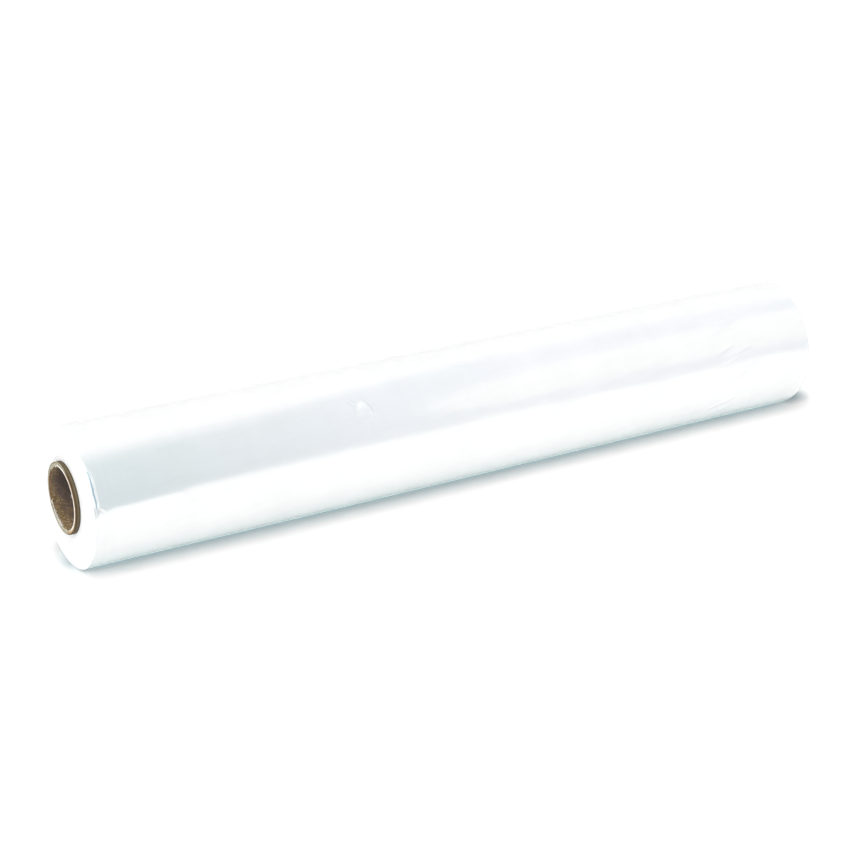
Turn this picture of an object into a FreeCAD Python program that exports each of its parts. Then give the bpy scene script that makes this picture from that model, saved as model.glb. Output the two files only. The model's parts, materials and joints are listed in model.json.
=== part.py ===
import FreeCAD, Part
import math
import os

import Sketcher
from FreeCAD import Vector

# A catering roll of cling film, lying on its side: a brown paper core with the film wound
# tightly on it. The roll lies along X and rests on Z = 0, with the origin under its middle.
# All sizes are in millimetres.
SIZES = [
    ("film_width", 450.0, "width of the film, which is the length of the wound part"),
    ("film_diameter", 74.5, "outside diameter of the wound film"),
    ("tail_lift", 0.15, "height of the outermost turn's free edge above the turn under it"),
    ("rest_width", 14.0, "width of the spot that the roll's own weight presses flat"),
    ("rim_depth", 0.5, "thickness of the outermost turns that stop short of the ends"),
    ("rim_set_back", 1.5, "distance from the ends at which those turns stop"),
    ("ring_count", 7, "number of rings that the turns' edges form on each end"),
    ("ring_width", 0.6, "width of one ring, across the turns"),
    ("ring_depth", 0.3, "depth of the deepest ring"),
    ("core_diameter", 37.5, "outside diameter of the core, which the first turn lies on"),
    ("core_wall", 2.5, "thickness of the core's wall"),
    ("core_stand_out", 2.5, "length of core that stands out of the film at each end"),
    ("core_edge_round", 0.3, "rounding of the core's cut edges"),
]

# The rings lie unevenly, but spread out: each is a golden share of the way on from the last.
RING_STEP = (math.sqrt(5.0) - 1.0) / 2.0
# Neighbouring rings take turns at this many depths.
RING_DEPTHS = 3
# The rounding of an edge stays under this share of the wall that it is on.
LARGEST_ROUND = 0.45
# A cutting profile reaches this far past the surface that it opens.
CUT_MARGIN = 1.0

# The roll's axis stands this high over the flat spot, which is on the lower half-turn.
LOWER_RADIUS = "(sizes.film_diameter - sizes.tail_lift) / 2"
AXIS_HEIGHT = f"sqrt(({LOWER_RADIUS}) ^ 2 - (sizes.rest_width / 2) ^ 2)"

# Sketcher's numbers for the points of a line or an arc, and for a sketch's own origin and X axis.
START = 1
END = 2
CENTRE = 3
X_AXIS = -1
ORIGIN = (-1, 1)


def make_sheet(doc):
    sheet = doc.addObject("Spreadsheet::Sheet", "sizes")
    for row, (alias, value, meaning) in enumerate(SIZES, start=1):
        sheet.set(f"A{row}", alias)
        sheet.set(f"B{row}", str(value))
        sheet.set(f"C{row}", meaning)
        sheet.setAlias(f"B{row}", alias)
    doc.recompute()
    return sheet


def make_body(doc, label):
    """Makes a body that is modelled about the roll's axis and then stood on its flat spot."""
    body = doc.addObject("PartDesign::Body", label)
    body.Label = label
    body.setExpression("Placement.Base.z", AXIS_HEIGHT)
    return body


def find_plane(body, role):
    return next(plane for plane in body.Origin.OriginFeatures if plane.Role == role)


def add_sketch(body, name, plane_role):
    sketch = body.newObject("Sketcher::SketchObject", name)
    sketch.AttachmentSupport = [(find_plane(body, plane_role), "")]
    sketch.MapMode = "FlatFace"
    return sketch


def dimension(sketch, name, kind, geometry, expression):
    """Adds a dimension and binds it to the sheet."""
    value = float(sketch.evalExpression(expression))
    index = sketch.addConstraint(Sketcher.Constraint(kind, *geometry, value))
    sketch.renameConstraint(index, name)
    sketch.setExpression(f"Constraints.{name}", expression)


def add_circle(sketch, name, diameter):
    """Adds a circle about the sketch's origin, with its diameter bound to an expression."""
    radius = float(sketch.evalExpression(diameter)) / 2
    circle = sketch.addGeometry(Part.Circle(Vector(), Vector(0, 0, 1), radius))
    sketch.addConstraint(Sketcher.Constraint("Coincident", circle, CENTRE, *ORIGIN))
    dimension(sketch, name, "Diameter", (circle,), diameter)


def add_rectangle(sketch, name, left, right, bottom, top):
    """Adds a rectangle whose sides' places are bound to four expressions."""
    sides = [float(sketch.evalExpression(side)) for side in (left, right, bottom, top)]
    corners = [
        Vector(sides[0], sides[2]),
        Vector(sides[1], sides[2]),
        Vector(sides[1], sides[3]),
        Vector(sides[0], sides[3]),
    ]
    lines = []
    for corner, next_corner in zip(corners, corners[1:] + corners[:1]):
        lines.append(sketch.addGeometry(Part.LineSegment(corner, next_corner)))
    for line, next_line in zip(lines, lines[1:] + lines[:1]):
        sketch.addConstraint(Sketcher.Constraint("Coincident", line, END, next_line, START))
    for line, direction in zip(lines, ("Horizontal", "Vertical", "Horizontal", "Vertical")):
        sketch.addConstraint(Sketcher.Constraint(direction, line))
    dimension(sketch, f"{name}_left", "DistanceX", (*ORIGIN, lines[0], START), left)
    dimension(sketch, f"{name}_right", "DistanceX", (*ORIGIN, lines[1], START), right)
    dimension(sketch, f"{name}_bottom", "DistanceY", (*ORIGIN, lines[0], START), bottom)
    dimension(sketch, f"{name}_top", "DistanceY", (*ORIGIN, lines[2], START), top)


def pad_along_roll(body, sketch, length):
    pad = body.newObject("PartDesign::Pad", f"{sketch.Name}_pad")
    pad.Profile = sketch
    pad.SideType = "Symmetric"
    pad.setExpression("Length", length)
    sketch.Document.recompute()
    return pad


def check_cut(before, after):
    if not after.Shape.Volume < before.Shape.Volume:
        raise RuntimeError(f"{after.Name} cuts nothing")


def make_core(doc):
    """The tube: its bore takes a holder's spindle, and its ends stand out of the film."""
    body = make_body(doc, "core")
    sketch = add_sketch(body, "core_section", "YZ_Plane")
    add_circle(sketch, "outside", "sizes.core_diameter")
    add_circle(sketch, "bore", "sizes.core_diameter - 2 * sizes.core_wall")
    pad = pad_along_roll(body, sketch, "sizes.film_width + 2 * sizes.core_stand_out")

    cut_edges = []
    for number, edge in enumerate(pad.Shape.Edges, start=1):
        if edge.Curve.TypeId == "Part::GeomCircle":
            cut_edges.append(f"Edge{number}")
    rounding = body.newObject("PartDesign::Fillet", "core_edges")
    rounding.Base = (pad, cut_edges)
    rounding.setExpression("Radius", f"min(sizes.core_edge_round; {LARGEST_ROUND} * sizes.core_wall)")
    doc.recompute()
    check_cut(pad, rounding)
    return body


def add_spiral_outline(sketch, sheet):
    """Draws the outermost turn as two half-turns, with a step at its free edge, at the back."""
    outer_radius = sheet.film_diameter / 2
    lower_radius = outer_radius - sheet.tail_lift / 2
    lower_centre = Vector(-sheet.tail_lift / 2, 0)
    normal = Vector(0, 0, 1)
    upper_circle = Part.Circle(Vector(), normal, outer_radius)
    lower_circle = Part.Circle(lower_centre, normal, lower_radius)
    upper = sketch.addGeometry(Part.ArcOfCircle(upper_circle, 0, math.pi))
    lower = sketch.addGeometry(Part.ArcOfCircle(lower_circle, math.pi, 2 * math.pi))
    step_foot = Vector(outer_radius - sheet.tail_lift, 0)
    step_top = Vector(outer_radius, 0)
    step = sketch.addGeometry(Part.LineSegment(step_foot, step_top))

    sketch.addConstraint([
        Sketcher.Constraint("Coincident", upper, CENTRE, *ORIGIN),
        Sketcher.Constraint("Coincident", upper, END, lower, START),
        Sketcher.Constraint("Coincident", lower, END, step, START),
        Sketcher.Constraint("Coincident", step, END, upper, START),
        Sketcher.Constraint("PointOnObject", upper, START, X_AXIS),
        Sketcher.Constraint("PointOnObject", upper, END, X_AXIS),
        Sketcher.Constraint("PointOnObject", lower, CENTRE, X_AXIS),
        Sketcher.Constraint("PointOnObject", step, START, X_AXIS),
    ])
    dimension(sketch, "outside", "Diameter", (upper,), "sizes.film_diameter")
    dimension(sketch, "tail_lift", "DistanceX", (step, START, step, END), "sizes.tail_lift")


def press_flat(body, pad):
    """Cuts the flat spot along the bottom of the roll."""
    sketch = add_sketch(body, "flat_section", "YZ_Plane")
    reach = f"sizes.film_diameter / 2 + {CUT_MARGIN}"
    add_rectangle(sketch, "flat", f"-({reach})", reach, f"-({reach})", f"-{AXIS_HEIGHT}")
    pocket = body.newObject("PartDesign::Pocket", "flat_spot")
    pocket.Profile = sketch
    pocket.Type = "ThroughAll"
    pocket.SideType = "Symmetric"
    body.Document.recompute()
    check_cut(pad, pocket)
    return pocket


def add_end_rings(body, flat_spot, ring_count):
    """Grooves the ends: rings where turns are drawn in, and a step where the last turns stop."""
    sketch = add_sketch(body, "end_section", "XZ_Plane")
    end = "sizes.film_width / 2"
    past_end = f"{end} + {CUT_MARGIN}"
    rim_radius = "(sizes.film_diameter / 2 - sizes.rim_depth)"
    core_radius = "sizes.core_diameter / 2"
    for number in range(1, ring_count + 1):
        share = number * RING_STEP % 1.0
        depth_share = (1 + number % RING_DEPTHS) / RING_DEPTHS
        radius = f"{core_radius} + {share} * ({rim_radius} - {core_radius})"
        floor = f"{end} - {depth_share} * sizes.ring_depth"
        inner = f"{radius} - sizes.ring_width / 2"
        outer = f"{radius} + sizes.ring_width / 2"
        add_rectangle(sketch, f"ring_{number}", floor, past_end, inner, outer)
    rim_top = f"sizes.film_diameter / 2 + {CUT_MARGIN}"
    add_rectangle(sketch, "rim", f"{end} - sizes.rim_set_back", past_end, rim_radius, rim_top)

    groove = body.newObject("PartDesign::Groove", "end_rings")
    groove.Profile = sketch
    groove.ReferenceAxis = (sketch, ["H_Axis"])
    groove.Angle = 360
    body.Document.recompute()
    check_cut(flat_spot, groove)

    mirrored = body.newObject("PartDesign::Mirrored", "both_ends")
    mirrored.Originals = [groove]
    mirrored.MirrorPlane = (find_plane(body, "YZ_Plane"), [""])
    body.Tip = mirrored
    body.Document.recompute()
    check_cut(groove, mirrored)


def make_film(doc, sheet):
    """All the turns of the film, which lie so tightly that they are one solid."""
    body = make_body(doc, "film")
    sketch = add_sketch(body, "film_section", "YZ_Plane")
    add_spiral_outline(sketch, sheet)
    add_circle(sketch, "first_turn", "sizes.core_diameter")
    pad = pad_along_roll(body, sketch, "sizes.film_width")
    flat_spot = press_flat(body, pad)
    add_end_rings(body, flat_spot, int(sheet.ring_count))
    return body


def check_document(doc, bodies):
    for item in doc.Objects:
        if "Invalid" in item.State or "Error" in item.State:
            raise RuntimeError(f"{item.Label} failed: {item.State}")
    for body in bodies:
        if body.Shape.isNull() or not body.Shape.isValid():
            raise RuntimeError(f"{body.Label} has no valid shape")


def main():
    os.makedirs("parts", exist_ok=True)
    doc = FreeCAD.newDocument("cling_film_roll")
    sheet = make_sheet(doc)
    bodies = [make_core(doc), make_film(doc, sheet)]
    doc.recompute()
    check_document(doc, bodies)
    for body in bodies:
        body.Shape.exportStep(f"parts/{body.Label}.step")
        box = body.Shape.BoundBox
        print(f"{body.Label}: {body.Shape.Volume:.0f} mm3, {box.XLength:.1f} x {box.YLength:.1f} x {box.ZLength:.1f} mm")


main()
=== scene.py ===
import json
import random
from math import cos, degrees, exp, hypot, pi, radians, sin, sqrt

import bpy
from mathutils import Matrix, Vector, noise


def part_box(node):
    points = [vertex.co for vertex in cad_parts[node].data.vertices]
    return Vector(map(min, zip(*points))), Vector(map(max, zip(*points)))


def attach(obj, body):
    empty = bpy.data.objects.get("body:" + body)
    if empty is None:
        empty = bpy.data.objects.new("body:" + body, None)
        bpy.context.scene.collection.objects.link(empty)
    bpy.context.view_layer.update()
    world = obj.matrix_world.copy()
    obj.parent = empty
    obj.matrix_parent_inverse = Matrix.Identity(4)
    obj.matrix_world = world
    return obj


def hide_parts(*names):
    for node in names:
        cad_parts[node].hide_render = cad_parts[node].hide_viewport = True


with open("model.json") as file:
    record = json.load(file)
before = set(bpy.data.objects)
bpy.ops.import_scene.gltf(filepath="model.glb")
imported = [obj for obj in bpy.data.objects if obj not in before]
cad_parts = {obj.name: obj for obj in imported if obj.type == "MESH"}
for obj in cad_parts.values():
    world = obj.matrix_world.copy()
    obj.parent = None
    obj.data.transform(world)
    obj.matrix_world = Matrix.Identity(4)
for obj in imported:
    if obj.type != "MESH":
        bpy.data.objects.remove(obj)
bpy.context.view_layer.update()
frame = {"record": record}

# The driving sizes of the roll, which runs along X, with its near end at -X. All in metres.
filmLow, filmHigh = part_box("film")
coreLow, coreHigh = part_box("core")
boreMount = next(mount for mount in frame["record"]["mounts"] if mount["name"] == "core_bore")
boreRadius = boreMount["dims"]["r_mm"] / 1000
axisHeight = boreMount["pos_m"][2]
filmRadius = filmHigh.z - axisHeight
coreRadius = (coreHigh.z - coreLow.z) / 2
rollMiddle = Vector((0, 0, axisHeight))
mm = 0.001
filmLength = (filmHigh.x - filmLow.x) / mm  # in mm, as are all places along the film


def smoothStep(low, high, value):
    share = min(max((value - low) / (high - low), 0.0), 1.0)
    return share * share * (3.0 - 2.0 * share)


def readOutline(outline, place):
    # the value at a place of an outline that is given as (place, value) points, lowest place first
    for (startPlace, startValue), (endPlace, endValue) in zip(outline, outline[1:]):
        if place <= endPlace:
            share = smoothStep(startPlace, endPlace, place)
            return startValue + share * (endValue - startValue)
    return outline[-1][1]


def noiseAt(*spot):
    return noise.noise(Vector(spot))


def turnNoise(first, turn, spread, seed=0.0):
    # noise that goes round the roll with no seam
    return noiseAt(first, spread * cos(turn), spread * sin(turn) + seed)


def aroundAxis(x, radius, turn):
    # a point at a radius from the roll's axis: turns go from the back, upwards
    return x, radius * cos(turn), axisHeight + radius * sin(turn)


def placeObject(name, data):
    placed = bpy.data.objects.new(name, data)
    bpy.context.collection.objects.link(placed)
    return placed


def placeFacing(name, data, place, back):
    # a camera or a lamp that looks away from the direction given as its back
    placed = placeObject(name, data)
    placed.location = place
    placed.rotation_mode = "QUATERNION"
    placed.rotation_quaternion = back.to_track_quat("Z", "Y")
    return placed


def makeMesh(name, points, faces, materials, faceMaterials=None, sharpAngle=None):
    mesh = bpy.data.meshes.new(name)
    mesh.from_pydata(points, [], faces)
    for material in materials:
        mesh.materials.append(material)
    if faceMaterials:
        mesh.polygons.foreach_set("material_index", faceMaterials)
    if sharpAngle:
        mesh.shade_smooth()
        mesh.set_sharp_from_angle(angle=radians(sharpAngle))
    mesh.validate()
    return placeObject(name, mesh)


def joinRings(rings, columns, ringMaterials):
    # quads between each ring of points and the next, with the last ring joined to the first
    faces = []
    faceMaterials = []
    for row in range(rings):
        here = row * columns
        beyond = (row + 1) % rings * columns
        for column in range(columns):
            beside = (column + 1) % columns
            faces.append((here + column, here + beside, beyond + beside, beyond + column))
            faceMaterials.append(ringMaterials[row])
    return faces, faceMaterials


def feed(node, inputs):
    # a link where the value is another node's output, and a constant otherwise
    for label, value in inputs.items():
        if isinstance(value, bpy.types.NodeSocket):
            node.id_data.links.new(value, node.inputs[label])
        else:
            node.inputs[label].default_value = value


def addNode(tree, kind, inputs=None, **settings):
    node = tree.nodes.new(kind)
    for name, value in settings.items():
        setattr(node, name, value)
    feed(node, inputs or {})
    return node


def mathNode(operation, *values):
    # this and the helpers below put their node into the tree that their values come from
    tree = next(value.id_data for value in values if isinstance(value, bpy.types.NodeSocket))
    return addNode(tree, "ShaderNodeMath", dict(enumerate(values)), operation=operation).outputs[0]


def times(first, second):
    return mathNode("MULTIPLY", first, second)


def minus(first, second):
    return mathNode("SUBTRACT", first, second)


def plus(first, second):
    return mathNode("ADD", first, second)


def larger(first, second):
    return mathNode("MAXIMUM", first, second)


def mixColors(amount, first, second):
    inputs = {0: amount, 6: first, 7: second}
    return addNode(amount.id_data, "ShaderNodeMix", inputs, data_type="RGBA", blend_type="MIX").outputs[2]


def remap(value, fromLow, fromHigh, toLow=0.0, toHigh=1.0):
    inputs = {"Value": value, "From Min": fromLow, "From Max": fromHigh, "To Min": toLow, "To Max": toHigh}
    return addNode(value.id_data, "ShaderNodeMapRange", inputs, clamp=True).outputs["Result"]


def addNoise(vector, scale, detail=3.0, roughness=0.5):
    inputs = {"Vector": vector, "Scale": scale, "Detail": detail, "Roughness": roughness}
    return addNode(vector.id_data, "ShaderNodeTexNoise", inputs).outputs["Fac"]


def stretch(vector, scale, location=(0, 0, 0)):
    inputs = {"Vector": vector, "Scale": scale, "Location": location}
    return addNode(vector.id_data, "ShaderNodeMapping", inputs).outputs["Vector"]


def splitPlace(place):
    return addNode(place.id_data, "ShaderNodeSeparateXYZ", {0: place}).outputs


def addBump(height, distance, normal=None):
    inputs = {"Height": height, "Distance": distance}
    if normal is not None:
        inputs["Normal"] = normal
    return addNode(height.id_data, "ShaderNodeBump", inputs).outputs["Normal"]


def newGroup(name, inputs, outputs):
    # inputs and outputs: the kind of each socket, by its name
    group = bpy.data.node_groups.new(name, "ShaderNodeTree")
    for direction, sockets in (("INPUT", inputs), ("OUTPUT", outputs)):
        for label, kind in sockets.items():
            group.interface.new_socket(label, in_out=direction, socket_type="NodeSocket" + kind)
    return group, group.nodes.new("NodeGroupInput").outputs, group.nodes.new("NodeGroupOutput")


def placeGroup(group, place, **values):
    return addNode(place.id_data, "ShaderNodeGroup", {"Place": place, **values}, node_tree=group).outputs


def newMaterial(name):
    material = bpy.data.materials.new(name)
    material.use_nodes = True
    shader = next(node for node in material.node_tree.nodes if node.type == "BSDF_PRINCIPLED")
    return material, shader, addNode(material.node_tree, "ShaderNodeTexCoord").outputs["Object"]


def makeRoundStreaks():
    # fine lines round the roll, as tension and winding leave them: they change mostly along X
    inputs = {"Place": "Vector", "Lines": "Float", "Drift": "Float"}
    group, given, sink = newGroup("roundStreaks", inputs, {"Streaks": "Float"})
    scales = {"X": given["Lines"], "Y": given["Drift"], "Z": given["Drift"]}
    scale = addNode(group, "ShaderNodeCombineXYZ", scales).outputs[0]
    spot = addNode(group, "ShaderNodeVectorMath", {0: given["Place"], 1: scale}, operation="MULTIPLY")
    feed(sink, {"Streaks": addNoise(spot.outputs[0], 1.0, detail=4.0, roughness=0.6)})
    return group


def makeWoundRings():
    # rings about the roll's axis, which the edges of turns or plies form on an end
    inputs = {"Place": "Vector", "Rings": "Float", "Wander": "Float"}
    group, given, sink = newGroup("woundRings", inputs, {"Rings": "Float", "Radius": "Float"})
    flat = stretch(given["Place"], (0, 1, 1), (0, 0, -axisHeight))
    radius = addNode(group, "ShaderNodeVectorMath", {0: flat}, operation="LENGTH").outputs["Value"]
    wander = times(addNoise(flat, 60.0, detail=1.0), given["Wander"])
    across = plus(times(radius, given["Rings"]), wander)
    lines = {"W": across, "Scale": 1.0, "Detail": 5.0, "Roughness": 0.7}
    rings = addNode(group, "ShaderNodeTexNoise", lines, noise_dimensions="1D").outputs["Fac"]
    feed(sink, {"Rings": rings, "Radius": radius})
    return group


def makeBoardFibres():
    # kraft board: a mottled ground with long pale and dark fibres, and the grain that they give it
    inputs = {"Place": "Vector", "Ground": "Color", "Dark": "Color", "Pale": "Color"}
    group, given, sink = newGroup("boardFibres", inputs, {"Color": "Color", "Grain": "Float"})
    place = given["Place"]
    mottle = addNoise(place, 260.0, detail=4.0, roughness=0.7)
    lean = {"Vector": place, "Axis": (0.2, 0.5, 0.8), "Angle": radians(25)}
    leaning = addNode(group, "ShaderNodeVectorRotate", lean, rotation_type="AXIS_ANGLE").outputs["Vector"]
    darkFibres = addNoise(stretch(leaning, (700, 2600, 2600)), 1.0, detail=2.0)
    paleFibres = addNoise(stretch(place, (2400, 1000, 1500)), 1.0, detail=2.0)
    color = mixColors(remap(mottle, 0.35, 0.7, 0.0, 0.55), given["Ground"], given["Dark"])
    color = mixColors(remap(paleFibres, 0.53, 0.66, 0.0, 0.7), color, given["Pale"])
    color = mixColors(remap(darkFibres, 0.54, 0.68, 0.0, 0.75), color, given["Dark"])
    feed(sink, {"Color": color, "Grain": plus(paleFibres, times(mottle, 0.6))})
    return group


roundStreaks = makeRoundStreaks()
woundRings = makeWoundRings()
boardFibres = makeBoardFibres()
print("effects made")


filmLook = {
    "clear": (0.90, 0.905, 0.905, 1),  # where the turns lie tight, the film under them shows through
    "milky": (0.955, 0.955, 0.955, 1),  # where air between the turns scatters the light
    "lifted": (0.955, 0.95, 0.955, 1),  # where the outer turn stands off: whiter and less glossy, and partly a painted highlight
    "fold": (0.50, 0.60, 0.66, 1),  # painted shade: in creases and on the pocket's sharp crease, on the gathers, and along the free edge
    "gap": (0.36, 0.52, 0.60, 1),  # painted shade in under the last turns
    "edge": (0.905, 0.91, 0.915, 1),
    "edgeMilky": (0.94, 0.94, 0.935, 1),
    "layers": 0.33,  # many thin layers with air between them reflect as a dull mirror does
    "liftedLayers": 0.02,
    # The wall's streaks round the roll, and its soft patterns, in bumps a metre along X, Y and Z.
    "fineLines": {"Lines": 900.0, "Drift": 9.0},
    "bands": {"Lines": 45.0, "Drift": 5.0},
    "clouds": (26, 34, 34),
    "drawn": (30, 380, 380),
    "drawnLean": radians(10),
    "ripples": (40, 170, 170),
    # The ends' rings, and the lines in the gap.
    "fineRings": {"Rings": 6000.0, "Wander": 3.0},
    "broadRings": {"Rings": 700.0, "Wander": 1.5},
    "gapLines": {"Lines": 3000.0, "Drift": 60.0},
    # How high each pattern stands.
    "rippleRelief": 0.05 * mm,
    "drawnRelief": 0.008 * mm,
    "fineRelief": 0.002 * mm,
    "ringRelief": 0.10 * mm,
    "gapRelief": 0.05 * mm,
}


def readMarks(tree):
    # what the mesh says of each spot on the film: how much painted shade it has, and how much raised look
    # with painted highlight
    marks = addNode(tree, "ShaderNodeAttribute", attribute_name="marks").outputs["Color"]
    shares = addNode(tree, "ShaderNodeSeparateColor", {0: marks}).outputs
    return shares["Red"], shares["Green"]


def makeWallMaterial():
    material, shader, place = newMaterial("filmWall")
    tree = material.node_tree
    # marks from the mesh: painted shade, and the raised look with its painted highlight
    paintedShadeShare, lifted = readMarks(tree)
    fine = placeGroup(roundStreaks, place, **filmLook["fineLines"])["Streaks"]
    bands = placeGroup(roundStreaks, place, **filmLook["bands"])["Streaks"]
    clouds = addNoise(stretch(place, filmLook["clouds"]), 1.0)
    lean = {"Vector": place, "Angle": filmLook["drawnLean"]}
    leaning = addNode(tree, "ShaderNodeVectorRotate", lean, rotation_type="Y_AXIS").outputs["Vector"]
    drawn = addNoise(stretch(leaning, filmLook["drawn"]), 1.0, detail=4.0, roughness=0.6)
    air = plus(times(bands, 0.35), times(clouds, 0.35))
    air = plus(air, times(drawn, 0.3))
    color = mixColors(remap(air, 0.38, 0.62), filmLook["clear"], filmLook["milky"])
    # the raised look with its painted highlight, then the painted shade
    color = mixColors(lifted, color, filmLook["lifted"])
    color = mixColors(paintedShadeShare, color, filmLook["fold"])
    ripples = addNoise(stretch(place, filmLook["ripples"]), 1.0, roughness=0.6)
    normal = addBump(ripples, filmLook["rippleRelief"])
    normal = addBump(drawn, filmLook["drawnRelief"], normal)
    feed(shader, {
        "Base Color": color,
        "Roughness": remap(fine, 0.3, 0.7, 0.12, 0.22),
        "Metallic": remap(lifted, 0.0, 1.0, filmLook["layers"], filmLook["liftedLayers"]),
        "Coat Weight": 1.0,
        "Coat Roughness": 0.04,
        "Subsurface Weight": 0.5,
        "Subsurface Radius": (1.0, 1.0, 1.0),
        "Subsurface Scale": 4 * mm,
        "Normal": addBump(fine, filmLook["fineRelief"], normal),
    })
    return material


def makeEndMaterial():
    material, shader, place = newMaterial("filmEnds")
    fine = placeGroup(woundRings, place, **filmLook["fineRings"])["Rings"]
    broad = placeGroup(woundRings, place, **filmLook["broadRings"])["Rings"]
    rings = plus(times(fine, 0.45), times(broad, 0.55))
    feed(shader, {
        "Base Color": mixColors(remap(rings, 0.36, 0.6), filmLook["edge"], filmLook["edgeMilky"]),
        "Roughness": remap(fine, 0.3, 0.7, 0.4, 0.65),
        "Subsurface Weight": 0.2,
        "Subsurface Radius": (1.0, 1.0, 1.0),
        "Subsurface Scale": 3 * mm,
        "Normal": addBump(rings, filmLook["ringRelief"]),
    })
    return material


def makeGapMaterial():
    # a darker colour in the gap under the curl: painted shade
    material, shader, place = newMaterial("filmGap")
    lines = placeGroup(roundStreaks, place, **filmLook["gapLines"])["Streaks"]
    feed(shader, {
        "Base Color": mixColors(remap(lines, 0.35, 0.65, 0.0, 0.35), filmLook["gap"], filmLook["edge"]),
        "Roughness": 0.5,
        "Normal": addBump(lines, filmLook["gapRelief"]),
    })
    return material


filmTurns = {
    "columns": 290,
    "fineArc": (-62, 128),  # degrees: the front and the top, where most of the columns are
    "fineShare": 0.74,
    "usualStep": 3.0,  # mm between points along the roll
    # Stretches with finer steps, where creases are: from and to, in mm from the near end, and the step.
    "fineStretches": [
        (0, 3, 0.3), (3, 16, 0.65), (42, 60, 1.0), (143, 164, 0.5), (164, 170, 1.0), (376, 418, 0.8),
        (446, 450, 0.5),
    ],
    "tailLift": 0.22 * mm,  # height of the free edge, along the back
    "tailWander": 0.9 * mm,  # how far the free edge is from straight
    "tailEdge": 0.5,  # degrees on either side of it that its painted shade line takes
    "tailDark": 0.55,
    "tailPuffs": 0.16 * mm,  # how far its loose stretches stand off the turn below
    "tailSoft": 0.1,  # radians in which they lie down again
    # Bumps all over the wall: their height, and their size along the roll and round it.
    "softSpots": (0.10 * mm, 45 * mm, 30 * mm),
    "ripples": (0.015 * mm, 10 * mm, 12 * mm),
    "creaseRoom": 8.0,  # mm past the ends of a crease that it may still touch
    "rimBlend": 7.0,  # mm from an end in which the points follow the rim
    "curlReach": 0.75,  # mm from an end in which the rim's curl dies away
    "curlLooks": (1.4, 2.3),  # mm from an end between which the raised look and its painted highlight fade out
    "fullyLifted": 0.3 * mm,  # a curl that gets the whole raised look and painted highlight
}

# The ends' relief. Rings lie where the CAD film has them.
endRelief = {
    "rings": 7,
    "ringStep": (sqrt(5) - 1) / 2,
    "ringWidth": 0.6 * mm,
    "ringDepth": 0.3 * mm,
    "ringBevel": 0.08 * mm,
    "unevenness": 0.10 * mm,
    "rimDepth": 0.45 * mm,  # thickness of the last turns, which stop short of the end
    "lastTurns": 0.22 * mm,  # thickness of those that curl up
    "openGap": 0.08 * mm,  # a curl above this gets the gap's painted shade under it
}

# Where the last turns stop, in mm from the end, round the roll: 0 is the front, 90 the top.
nearRim = {
    "end": (filmLow.x, 1),  # where it is, and which way along X is into the roll
    "setBack": [
        (-180, 0.8), (-60, 0.5), (-6, 0.35), (2, 0.5), (9, 2.0), (14, 2.3), (24, 2.0),
        (33.5, 1.9), (43, 1.3), (53, 0.4), (90, 0.3), (140, 0.9), (180, 0.8),
    ],
    "curl": [(-180, 0), (9, 0), (13, 0.3), (18, 0.5), (25, 0.55), (32, 0.4), (38, 0.12), (46, 0), (180, 0)],
    "fray": 0.18,
    "seeds": (0, 0),  # of its fray, and of the end's face
}
farRim = {
    "end": (filmHigh.x, -1),
    "setBack": [(-180, 0.6), (-70, 0.9), (-20, 0.5), (60, 0.4), (120, 1.3), (180, 0.6)],
    "curl": [(-180, 0), (100, 0), (120, 0.3), (140, 0), (180, 0)],
    "fray": 0.3,
    "seeds": (5, 9),
}

# Creases of the outer turns: (mm from the near end, degrees) at each end, height and width in mm,
# and how much shade is painted along the crease.
creases = [
    ((147.0, 52.5), (152.0, 44.5), 0.08, 1.1, 0.14),  # pulled up beside the air pocket
    ((149.5, 54.5), (152.5, 49.0), 0.06, 0.9, 0.16),
    ((156.5, 34.0), (158.5, 28.0), 0.08, 1.4, 0.06),
    ((1.6, 12.4), (8.0, 7.0), 0.26, 0.9, 0.35),  # runs back from the torn corner
    ((45.7, 11.5), (55.3, -0.7), 0.16, 1.3, 0.12),
    ((44.0, 8.0), (50.0, 1.0), -0.10, 1.4, 0.0),
    ((378.5, 49.4), (409.0, 60.5), 0.30, 1.9, 0.10),
    ((383.7, 41.5), (406.7, 54.0), 0.26, 1.8, 0.12),
    ((386.2, 15.1), (408.2, 26.0), 0.20, 1.8, 0.12),
    ((382.0, 22.0), (396.0, 30.0), 0.20, 1.7, 0.10),
    ((386.1, -4.8), (413.9, 10.5), 0.24, 1.9, 0.07),
    ((378.1, -31.5), (398.4, -21.0), 0.24, 1.5, 0.05),
    ((384.0, -40.0), (400.0, -30.0), 0.14, 1.5, 0.0),
    ((20.0, 172.0), (52.0, 158.0), 0.16, 1.8, 0.10),  # where the free edge was pulled
    ((96.0, 174.0), (118.0, 163.0), 0.14, 1.6, 0.10),
    ((206.0, 176.0), (246.0, 155.0), 0.16, 2.0, 0.10),
    ((318.0, 173.0), (342.0, 160.0), 0.14, 1.6, 0.10),
]

# A pocket of air under the outer turn. It is widest at its foot, and creased sharply on one side. It
# carries a painted highlight, and painted shade along its sharp crease.
airPocket = {
    "foot": (149.0, 159.5, 36.5),  # from and to, in mm from the near end, and degrees
    "peak": (153.6, 157.0, 49.0),
    "height": 1.0,
    "swell": (-0.15, 1.3),  # from below the foot to above the peak, in shares of the way between them
    "lifted": 0.28,
    "fold": 0.42,
    "foldWidth": 0.55,
}

# Soft ridges beside the near rim, where the turns are gathered, with painted shade on their crests.
gathers = {"height": 0.035, "spacing": 4.4, "reach": 7.0, "dark": 0.13}
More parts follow.
